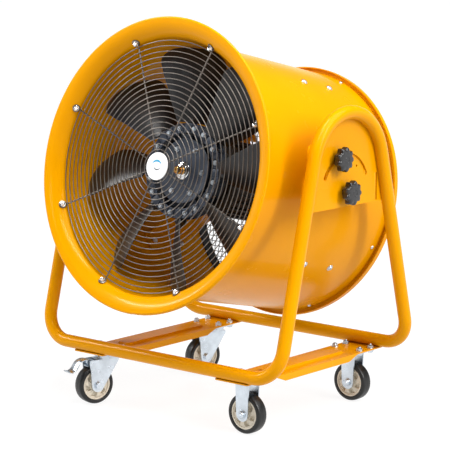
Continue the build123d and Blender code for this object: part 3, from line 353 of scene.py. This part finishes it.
# ---------------------------------------------------------------- front guard: rings, spokes and tabs
FLARE_CENTRE = 348.0
FLARE_INNER = 44.5
FLARE_START = 233.5
BOLT_CIRCLE = 311.0
bolt_lean = (FLARE_CENTRE - BOLT_CIRCLE) / FLARE_INNER
bolt_rise = sqrt(1 - bolt_lean ** 2)
SPOKE_STATION = 250
SPOKE_WIRE = 1.8
SPOKE_STOPS = (28, 100, 200, 300, 304.5)
RING_COUNT = 21
RING_FIRST = 40
RING_PITCH = 12.95
RING_STATION = 253.4
RING_WIRE = 1.2
spoke_angles = [22.5 + 45 * k for k in range(8)]


def flare_place(angle):
    """Frame on the bell mouth at a guard bolt, facing the air."""
    origin = at_drum(angle, BOLT_CIRCLE, FLARE_START + FLARE_INNER * bolt_rise)
    return place(origin, forward * bolt_rise - outward(angle) * bolt_lean, outward(angle).cross(forward))


guard = Shape()
for step in range(RING_COUNT):
    radius = RING_FIRST + RING_PITCH * step
    count = 64 + 6 * step
    circle = [at_drum(360 * k / count, radius, RING_STATION) for k in range(count)]
    guard.tube(circle, RING_WIRE, sides=10, loop=True)
for angle in spoke_angles:
    guard.tube([at_drum(angle, r, SPOKE_STATION) for r in SPOKE_STOPS], SPOKE_WIRE, sides=14)
    guard.lathe([(2.8, 0.1), (9.3, 0.1), (9.5, 0.4), (9.5, 2.3), (9.0, 2.6), (2.8, 2.6)],
                flare_place(angle), 32)
guard.lathe([(0, 248.5), (32, 248.5), (32.5, 249), (32.5, 251), (32, 251.5), (0, 251.5)], on_axis(0), 64)
guard.finish("front_guard_wires", "drum", "guard_wire", WIRE, ["front_guard"])

nuts = Shape()
for angle in spoke_angles:
    spot = flare_place(angle)
    nuts.lathe([(2.6, 2.6), (6.6, 2.6), (6.9, 3.0), (6.6, 3.4), (2.6, 3.4)], spot, 24)
    nuts.hexagon(spot, 11, 4.4, base=3.4)
    nuts.lathe([(0, 7.6)] + [(4.9 * cos(radians(t)), 7.6 + 5.0 * sin(radians(t))) for t in range(0, 91,
                                                                                                 15)],
               spot, 24)
    nuts.rod(spot, 5.0, -6, -2.9)
nuts.finish("guard_acorn_nuts", "drum", "bright_plate", CHROME, ["guard_bolts"])

badge = Shape()
badge.lathe([(0, 252.2), (32.4, 252.2), (33, 252.8), (33, 254.6), (32.2, 255.6), (30.5, 255.9),
             (29.8, 255.5),
             (29.2, 255.6), (18, 256.0), (0, 256.2)], on_axis(0), 96)
badge.finish("badge_disc", "drum", "badge_white", BADGE, ["guard_badge"])


BADGE_FACE = 255.5
PRINT_TOP = 256.35
PRINT_STEPS = 24


def badge_print(name, start, end, radius, width, centre, material):
    """Raised generic arc on the badge, pointed at both ends."""
    shape = Shape()
    rings = []
    for k in range(PRINT_STEPS + 1):
        t = k / PRINT_STEPS
        angle = radians(start + (end - start) * t)
        half = width * sin(pi * t) / 2 + 0.05
        ring = []
        for r, h in ((radius - half, BADGE_FACE), (radius + half, BADGE_FACE),
                     (radius + half, PRINT_TOP), (radius - half, PRINT_TOP)):
            ring.append((centre[0] + r * cos(angle), centre[1] + r * sin(angle), h))
        rings.append(ring)
    shape.loft(rings, on_axis(0))
    shape.finish(name, "drum", "badge_white", material)


badge_print("badge_arc_upper", 150, 30, 17, 5.0, (0, -4), BADGE_BLUE)
badge_print("badge_arc_lower", 200, 330, 12, 3.2, (2, 4), BADGE_GREY)

# ---------------------------------------------------------------- knobs
KNOB_LOBES = 9
KNOB_SEGMENTS = 108
LOBE_DEPTH = 2.7
for side_name, side in (("right", 1), ("left", -1)):
    for kind, bore in (("pivot", 6.05), ("lock", 5.05)):
        name = f"knob_{kind}_{side_name}"
        joint = joints[f"{name}_turn"]
        seat = place(Vector(joint["pos_m"]) + across * side * 0.4 * MM, across * side, upward)
        knob = Shape()
        knob.lathe([(bore, 0), (13.4, 0), (14, 0.5), (14, 1.6), (bore, 2)], seat, 40)
        knob.lathe([(bore, 2), (15.2, 2), (16, 3), (15.6, 7), (16.5, 11.5), (bore, 11.5)], seat, 48)
        rings = []
        for reach, height, lobe in ((17, 11.3, 0.2), (24.5, 11.0, 0.8), (26.6, 12.5, 1), (27, 16, 1),
                                    (26.8, 23, 1),
                                    (25.6, 26.3, 0.95), (23.6, 28.0, 0.8), (20, 28.6, 0.45),
                                    (14, 28.9, 0.1),
                                    (8, 29.0, 0), (7.6, 28.4, 0), (bore, 28.4, 0)):
            ring = []
            for k in range(KNOB_SEGMENTS):
                a = 2 * pi * k / KNOB_SEGMENTS
                r = reach + LOBE_DEPTH * lobe * cos(KNOB_LOBES * a)
                ring.append((r * cos(a), r * sin(a), height))
            rings.append(ring)
        knob.loft(rings, seat, caps=False)
        knob.rod(seat, 6.8, 26.0, 28.7, sides=32)
        knob.finish(f"{name}_moulding", name, "knob_black", KNOB, [name])

# ---------------------------------------------------------------- impeller
HUB_STATION = 148.0
blade_angles = [2 + 45 * k for k in range(8)]
BLADE_ROOT = 117.5
BLADE_SPAN = 180.5
BLADE_SWEEP = 5.0           # degrees that the tip is turned ahead of the root
BLADE_CAMBER = 0.085        # over the chord
EDGE_THICKNESS = 0.35
TIP_START = 262             # where the tip begins to round off
TIP_SPAN = 36
TIP_NARROWING = 0.72
# Each row: distance from the axis, chord, and pitch in degrees.
BLADE_TABLE = ((117.5, 72, 52), (170, 112, 46), (235, 150, 40), (298, 170, 35.6))


def between(radius, column):
    """Blade table value at a distance from the axis, eased between its rows."""
    for low, high in zip(BLADE_TABLE, BLADE_TABLE[1:]):
        if radius <= high[0]:
            t = (radius - low[0]) / (high[0] - low[0])
            return low[column] + (high[column] - low[column]) * t
    return BLADE_TABLE[-1][column]


def blade_ring(radius, where_angle):
    """Closed section of a blade on a cylinder about the drum axis."""
    chord = between(radius, 1)
    pitch = radians(between(radius, 2))
    tip = max(0.0, (radius - TIP_START) / TIP_SPAN)
    chord *= sqrt(max(0.05, 1 - TIP_NARROWING * tip ** 2))
    thick = 7.5 - 3.5 * (radius - 117) / 181
    where_angle += BLADE_SWEEP * ((radius - BLADE_ROOT) / BLADE_SPAN) ** 2
    ring = []
    steps = 18
    for k in range(2 * steps):
        upper = k < steps
        t = k / steps if upper else 2 - k / steps
        along = -cos(pi * t)
        camber = BLADE_CAMBER * chord * (1 - along ** 2)
        half = thick / 2 * (1 - along ** 4) + EDGE_THICKNESS
        x = along * chord / 2
        y = camber + (half if upper else -half)
        sideways = x * cos(pitch) - y * sin(pitch)
        ahead = x * sin(pitch) + y * cos(pitch)
        ring.append(at_drum(where_angle, 0, HUB_STATION + ahead)
                    + (outward(where_angle + sideways / radius * 180 / pi)) * radius * MM)
    return ring


for number, angle in enumerate(blade_angles, start=1):
    blade = Shape()
    radii = [BLADE_ROOT + 6 * k for k in range(27)] + [278, 283, 287, 290.5, 293.5, 295.5, 297, 298]
    blade.loft([blade_ring(r, angle) for r in radii], Matrix())
    root = place(at_drum(angle, 0, HUB_STATION), outward(angle), forward)
    blade.lathe([(0, 88), (11.5, 88), (11.9, 88.6), (11.9, 112), (13.8, 115.5), (15.5, 119), (14.5, 124),
                 (9, 131), (3.5, 137), (0, 138)], root, 32)
    blade.finish(f"impeller_blade_{number}", "impeller", "blade_black", BLADE, [f"blade_{number}"],
                 angle=50)

hub = Shape()
hub.lathe([(14.05, 105), (29, 105), (30, 106), (30, 131), (34, 132), (114.2, 132), (115, 132.8),
           (115, 135.2),
           (114.2, 136), (36, 136), (31, 138), (31, 153), (34, 154), (77, 154), (78, 155), (78, 159.2),
           (77, 160), (70, 159.6), (68, 159), (46, 158.6), (40, 160), (14.05, 160)], on_axis(0), 128)
for k in range(12):
    rib = place(at_drum(30 * k, 0, 0), outward(30 * k), forward)
    hub.loft([[(135.6, -1.5, r), (135.6, 1.5, r), (t, 1.5, r), (t, -1.5, r)]
              for r, t in ((30, 154.5), (60, 154.5), (84, 144), (113, 138))], rib)
hub.finish("hub_body", "impeller", "hub_metal", HUB, ["impeller_hub"])

ring = Shape()
ring.lathe([(92, 160.6), (92.6, 160), (114.4, 160), (115, 160.6), (115, 163.2), (114.2, 164), (111, 164),
            (110, 163.3), (97, 163.3), (96, 164), (92.8, 164), (92, 163.4)], on_axis(0), 128)
for angle in blade_angles:
    for tilt in (-1, 1):
        for turn in (7.0, 19.0):
            rib = place(at_drum(angle + tilt * turn, 0, 0), outward(angle + tilt * turn), forward)
            ring.loft([[(163.0, -1.2, r), (163.0, 1.2, r), (t, 0.9, r), (t, -0.9, r)]
                       for r, t in ((93.5, 165.0), (96, 166.2), (111, 166.2), (114, 165.0))], rib)
    saddle = place(at_drum(angle, 0, HUB_STATION), outward(angle), forward)
    rings = []
    for r in (92.4, 93, 114, 114.6):
        size = 18.2 if 92.9 < r < 114.2 else 17.4
        rings.append([(size * cos(radians(a)), size * sin(radians(a)), r) for a in range(-36, 37, 6)]
                     + [(12.1, 8.5, r), (12.1, -8.5, r)])
    ring.loft(rings, saddle)
ring.finish("hub_front_ring", "impeller", "hub_metal", HUB, ["hub_clamp_ring"])

HUB_BOLT_CIRCLE = 103.5
HUB_BOLT_SPREAD = 13
bolts = Shape()
for angle in blade_angles:
    for tilt in (-HUB_BOLT_SPREAD, HUB_BOLT_SPREAD):
        for base, turn in ((164, 1), (132, -1)):
            spot = place(at_drum(angle + tilt, HUB_BOLT_CIRCLE, base), forward * turn)
            bolts.lathe([(3, -0.1), (5.8, -0.1), (6.1, 0.3), (5.8, 0.8), (3, 0.8)], spot, 24)
            bolts.hexagon(spot, 9.6, 3.2, base=0.8)
        bolts.thread(place(at_drum(angle + tilt, HUB_BOLT_CIRCLE, 128), forward), 3, -2.5, 0.2, 0.8)
        bolts.rod(place(at_drum(angle + tilt, HUB_BOLT_CIRCLE, 136), forward), 3, 0, 24)
for k in range(6):
    spot = place(at_drum(60 * k, 58, 159), forward)
    bolts.lathe([(2, -0.4), (6.4, -0.4), (6.7, 0.2), (6.4, 0.8), (2, 0.8)], spot, 24)
    bolts.hexagon(spot, 10, 3.8, base=0.8)
bolts.finish("hub_fasteners", "impeller", "zinc_steel", ZINC, ["hub_bolts"])

washer = Shape()
washer.lathe([(8, 160), (20.4, 160), (21, 160.7), (21, 163.6), (19.8, 164.6), (14, 165), (8, 165)],
             on_axis(0), 64)
washer.lathe([(8, 165), (14.6, 165), (15.2, 165.6), (15.2, 167), (14.4, 167.6), (8, 167.6)], on_axis(0),
             64)
washer.finish("shaft_washers", "impeller", "bright_plate", CHROME, ["shaft_washer"])
stub = Shape()
stub.hexagon(on_axis(0), 19, 9, base=167)
stub.lathe([(0, 175), (8, 175), (8, 177), (6.8, 177.6), (6.8, 179), (8, 179.6), (8, 186.6), (6.6, 188),
            (2.6, 188),
            (2, 184), (0, 183)], on_axis(0), 40)
stub.finish("shaft_end_bolt", "impeller", "brass_bolt", BRASS, ["shaft_bolt"])

# ---------------------------------------------------------------- wheels
CORE_INNER = 12.5
CORE_OUTER = 34.5
CORE_FACE = 10.5
CORE_SEGMENTS = 144
CORE_SPOKES = 6
CORE_TWIST = 0.11
POCKET_RADIUS = 24.0
POCKET_HALF_WIDTH = 6.6
POCKET_DEPTH = 6.5
for end in ("front", "rear"):
    for side_name in ("right", "left"):
        body = f"wheel_{end}_{side_name}"
        joint = joints[f"{body}_roll"]
        spot = place(joint["pos_m"], joint["axis"], (0, 0, 1))
        tyre = Shape()
        half = [(37.05, 13.2), (38.2, 14.4), (40, 14.9), (43.2, 15.0), (43.8, 14.6), (44.6, 14.7),
                (46.2, 13.6),
                (47.3, 11.6), (47.8, 8), (48, 0.5), (47.7, 0.25)]
        outline = half + [(r, -h) for r, h in reversed(half)]
        tyre.lathe(outline, spot, 120)
        tyre.finish(f"{body}_tread", body, "wheel_tyre", RUBBER, [f"tyre_{end}_{side_name}"])
        core = Shape()
        core.lathe([(33.2, -13.0), (34, -13.5), (36.6, -13.5), (37.0, -13.1), (37.0, 13.1), (36.6, 13.5),
                    (34, 13.5),
                    (33.2, 13.0), (33, 9), (33, -9)], spot, 120)
        core.lathe([(5.06, -16.5), (9.5, -16.5), (10.2, -15.8), (13, -13), (13.6, -8), (13.6, 8),
                    (13, 13),
                    (10.2, 15.8), (9.5, 16.5), (5.06, 16.5)], spot, 64)
        for face in (1, -1):
            rings = []
            for step in range(23):
                radius = CORE_INNER + step
                ring_points = []
                for k in range(CORE_SEGMENTS):
                    a = 2 * pi * k / CORE_SEGMENTS
                    wave = cos(CORE_SPOKES * a - CORE_TWIST * (radius - CORE_INNER))
                    span = max(0.0, 1 - ((radius - POCKET_RADIUS) / POCKET_HALF_WIDTH) ** 2)
                    dip = max(0.0, min(1.0, (wave - 0.12 + 0.25 * span) * 3.4)) * min(1.0, span * 3.2)
                    ring_points.append((radius * cos(a), radius * sin(a),
                                        face * (CORE_FACE - POCKET_DEPTH * dip)))
                rings.append(ring_points)
            for r in (CORE_OUTER, CORE_INNER):
                turns = [2 * pi * k / CORE_SEGMENTS for k in range(CORE_SEGMENTS)]
                rings.append([(r * cos(a), r * sin(a), face) for a in turns])
            core.loft(rings, spot, loop=True)
        core.finish(f"{body}_core", body, "wheel_core", CREAM, [f"wheel_rim_{end}_{side_name}"])

# ---------------------------------------------------------------- caster fasteners
# Each rail: x of its centre line, and the thickness of the caster plate beneath it.
RAILS = {"right": (241, 3.0), "left": (-218, 4.0)}
RAIL_TOP = 134.0
RAIL_UNDERSIDE = 131.0
CASTER_REACH = 204.0
PLATE_BOLT_X = 38
PLATE_BOLT_Y = 22.5
upright = Vector((0, 0, 1))
fasteners = Shape()
for rail_x, plate in RAILS.values():
    for end in (-1, 1):
        for dx in (-PLATE_BOLT_X, PLATE_BOLT_X):
            for dy in (-PLATE_BOLT_Y, PLATE_BOLT_Y):
                foot = Vector((rail_x + dx, end * CASTER_REACH + dy, 0)) * MM
                turn = radians(17 * dx + 29 * dy + 50 * end)
                facing = (cos(turn), sin(turn), 0)
                above = place(foot + upright * RAIL_TOP * MM, upright, facing)
                below = place(foot + upright * (RAIL_UNDERSIDE - plate) * MM, -upright, facing)
                fasteners.lathe([(4, 0), (8.2, 0), (8.5, 0.3), (8.2, 1.2), (4, 1.2)], above, 32)
                fasteners.hexagon(above, 13, 5.6, base=1.2)
                fasteners.thread(above, 4, 0.2, 10, 1.25)
                fasteners.lathe([(4, 0), (8.2, 0), (8.5, 0.3), (8.2, 0.9), (4, 0.9)], below, 32)
                fasteners.hexagon(below, 13, 4.4, base=0.9)
                fasteners.rod(below, 3.95, -8, 1)
fasteners.finish("caster_fasteners", "stand", "zinc_steel", ZINC, ["caster_bolts"])


def axle(shape, joint, head_side):
    """Axle bolt with a chamfered head, a lock nut and a threaded end."""
    for side in (1, -1):
        spot = place(Vector(joint["pos_m"]), Vector(joint["axis"]) * side, upright)
        shape.lathe([(4.9, 20.5), (10.6, 20.5), (11, 20.9), (10.6, 22), (4.9, 22)], spot, 40)
        shape.hexagon(spot, 16, 4.4, base=22)
        if side == head_side:
            shape.thread(spot, 5, 22, 28.4, 1.25)
            shape.lathe([(4.8, 26.2), (7.2, 26.2), (6.6, 27.3), (4.8, 27.5)], spot, 32)
        shape.rod(spot, 4.95, 0, 22)


for name, body, wheels in (("rigid_axle_bolts", "stand", ("front_right", "rear_right")),
                           ("swivel_axle_bolt_front", "swivel_front", ("front_left",)),
                           ("swivel_axle_bolt_rear", "swivel_rear", ("rear_left",))):
    axles = Shape()
    for wheel in wheels:
        axle(axles, joints[f"wheel_{wheel}_roll"], 1)
    replaced = name.replace("_bolts", "s").replace("_bolt", "")
    axles.finish(name, body, "zinc_steel", ZINC, [replaced])

# ---------------------------------------------------------------- brake pedal
press = joints["brake_press"]
pin = place(Vector(press["pos_m"]), -Vector(press["axis"]), Vector(press["axis"]).cross(upright))
pedal = Shape()
sweep = ((0, 4.5, 11.5), (4, 8, 12), (9, 11, 12.5), (16, 12.8, 13), (24, 12.4, 13.6), (31, 10, 14.2),
         (37, 5.8, 14.6),
         (41.5, 0, 15), (45, -6, 15.2), (49, -10.6, 15.4), (54, -13.6, 15.6), (60, -15.2, 15.8),
         (64.5, -14.4, 15.8),
         (66.5, -12.2, 15.4))
rings = []
for k, (x, y, wide) in enumerate(sweep):
    before = sweep[max(0, k - 1)]
    after = sweep[min(len(sweep) - 1, k + 1)]
    span = hypot(after[0] - before[0], after[1] - before[1])
    nx = -(after[1] - before[1]) / span
    ny = (after[0] - before[0]) / span
    ring = []
    for across_at, thick in ((-wide, -1.0), (-wide, 0.6), (-wide + 0.9, 1.3), (-wide * 0.62, 1.3),
                             (-wide * 0.5, 2.1),
                             (wide * 0.5, 2.1), (wide * 0.62, 1.3), (wide - 0.9, 1.3), (wide, 0.6),
                             (wide, -1.0),
                             (wide - 0.5, -1.3), (-wide + 0.5, -1.3)):
        ring.append((x + nx * thick, y + ny * thick, across_at))
    rings.append(ring)
pedal.loft(rings, pin)
for face in (-1, 1):
    cheek = [(-6, -2), (-4, 4.8), (1, 6.4), (9, 11), (17, 12.5), (20, 8), (15, 1), (7, -4.5), (0, -6.2),
             (-4.6, -4.6)]
    pedal.loft([[(x, y, face * h) for x, y in cheek] for h in (10.4, 12.2)], pin)
pedal.rod(pin, 5.6, -13, 13, sides=28)
pedal.loft([[(1, -3, h), (12.6, -6.6, h), (13.4, -4.6, h), (2, 0, h)] for h in (-11, 11)], pin)
pedal.finish("brake_pedal_sheet", "brake", "zinc_steel", ZINC, ["brake_pedal"])

# ---------------------------------------------------------------- bolt heads on the drum
SHELL_RADIUS = 306.0
REAR_SCREW_STATION = -254
MOTOR_ARM_ANGLES = (56.5, 123.5, 216.3, 323.7)
MOTOR_ARM_STATIONS = (-40, -142)
NUT_DEPTH = 7.0             # of the nuts inside the shell, from its outer face
heads = Shape()
for angle in spoke_angles:
    spot = place(at_drum(angle, SHELL_RADIUS, REAR_SCREW_STATION), outward(angle), forward)
    heads.lathe([(0, 0.05), (5.0, 0.05), (5.0, 0.9), (4.4, 2.1), (3.0, 2.9), (1.4, 3.1), (1.1, 2.2),
                 (0, 2.2)], spot, 28)
    heads.rod(spot, 2.45, -9, 0.4)
heads.finish("rear_screw_heads", "drum", "zinc_steel", ZINC, ["rear_guard_screws"])
heads = Shape()
for angle in MOTOR_ARM_ANGLES:
    for station in MOTOR_ARM_STATIONS:
        spot = place(at_drum(angle, SHELL_RADIUS, station), outward(angle), forward)
        heads.lathe([(0, 0.05), (8.6, 0.05), (8.8, 0.5), (8.4, 1.1), (6.9, 1.1), (6.6, 2.2), (5.4, 3.4),
                     (3.2, 4.2),
                     (2.4, 4.2), (2.2, 2.4), (0, 2.4)], spot, 36)
        heads.rod(spot, 3.95, -14, 0.4)
        inside = place(at_drum(angle, SHELL_RADIUS - NUT_DEPTH, station), -outward(angle), forward)
        heads.hexagon(inside, 13, 6.0)
        heads.thread(inside, 4, 0, 9)
heads.finish("motor_arm_bolt_heads", "drum", "zinc_steel", ZINC, ["motor_arm_bolts"])

# ---------------------------------------------------------------- floor and light
FLOOR_REACH = 90
FLOOR_GLOW = 0.88
stage_mesh = bpy.data.meshes.new("floor")
corners = [(x * FLOOR_REACH, y * FLOOR_REACH, 0) for x, y in ((-1, -1), (1, -1), (1, 1), (-1, 1))]
stage_mesh.from_pydata(corners, [], [(0, 1, 2, 3)])
floor = bpy.data.objects.new("floor", stage_mesh)
bpy.context.scene.collection.objects.link(floor)
floor_material = surface("pale_floor", (0.12, 0.12, 0.12), 0.50, vary=0.005, patch=3, grain=60,
                         bump=0.01, specular=0.15)
floor_shader = floor_material.node_tree.nodes["Principled BSDF"]
floor_shader.inputs["Emission Color"].default_value = (1, 1, 1, 1)
floor_shader.inputs["Emission Strength"].default_value = FLOOR_GLOW
stage_mesh.materials.append(floor_material)

world = bpy.data.worlds.new("studio")
world.use_nodes = True
backdrop = world.node_tree.nodes["Background"]
backdrop.inputs["Color"].default_value = (1.0, 0.99, 0.98, 1)
direction = world.node_tree.nodes.new("ShaderNodeTexCoord")
height = world.node_tree.nodes.new("ShaderNodeSeparateXYZ")
fade = world.node_tree.nodes.new("ShaderNodeMapRange")
for socket, value in (("From Min", 0.14), ("From Max", 0.26), ("To Min", 1.0), ("To Max", 0.08)):
    fade.inputs[socket].default_value = value
world.node_tree.links.new(direction.outputs["Generated"], height.inputs["Vector"])
world.node_tree.links.new(height.outputs["Z"], fade.inputs["Value"])
world.node_tree.links.new(fade.outputs["Result"], backdrop.inputs["Strength"])
bpy.context.scene.world = world


def softbox(name, location, target, size, power):
    data = bpy.data.lights.new(name, "AREA")
    data.shape = "RECTANGLE"
    data.size, data.size_y = size
    data.energy = power
    lamp = bpy.data.objects.new(name, data)
    bpy.context.scene.collection.objects.link(lamp)
    lamp.location = location
    lamp.rotation_euler = (Vector(target) - Vector(location)).to_track_quat("-Z", "Y").to_euler()


softbox("key", location=(-3.0, -1.7, 2.7), target=(0, 0, 0.4), size=(0.45, 2.2), power=100)
softbox("front", location=(-0.6, -3.8, 2.2), target=(0, 0, 0.5), size=(1.2, 0.6), power=10)
softbox("fill", location=(3.6, 0.4, 2.4), target=(0, 0, 0.5), size=(0.5, 2.2), power=95)
softbox("top", location=(0.4, -0.8, 3.0), target=(0, 0, 0.5), size=(0.5, 2.4), power=78)
sun_data = bpy.data.lights.new("sun", "SUN")
sun_data.energy = 2.9
sun_data.angle = radians(60)
sun = bpy.data.objects.new("sun", sun_data)
bpy.context.scene.collection.objects.link(sun)
sun.rotation_euler = (radians(-8), radians(34), 0)
bpy.context.scene.view_settings.view_transform = "Standard"
